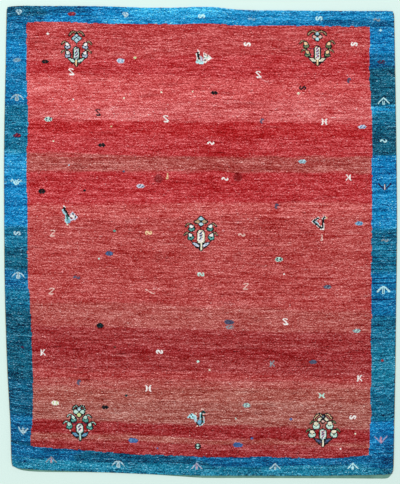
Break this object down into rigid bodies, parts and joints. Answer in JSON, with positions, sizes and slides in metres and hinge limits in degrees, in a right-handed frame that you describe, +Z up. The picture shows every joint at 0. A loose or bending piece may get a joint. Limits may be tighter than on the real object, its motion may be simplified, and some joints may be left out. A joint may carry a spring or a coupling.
{
  "type": "gabbeh rug",
  "caption": "Hand-knotted wool gabbeh rug lying flat, with a blue border round a red field, small flowering plants, birds and scattered marks, and overcast side cords.",
  "frame": {"origin": "on the floor, under the middle of the rug's box", "axes": "+Z up out of the pile, +Y along the warps towards the end woven last, +X across the warps to the right"},
  "size_m": [2.0214, 2.4399, 0.0134],
  "materials": {
    "pile": "hand-dyed wool pile, madder red field and indigo blue border, matt with a soft nap",
    "selvedge": "wool overcast round the outer warps, dark olive and blue, matt"
  },
  "bodies": {
    "root": {"rug": "pile", "selvedge_left": "selvedge", "selvedge_right": "selvedge"}
  },
  "joints": []
}
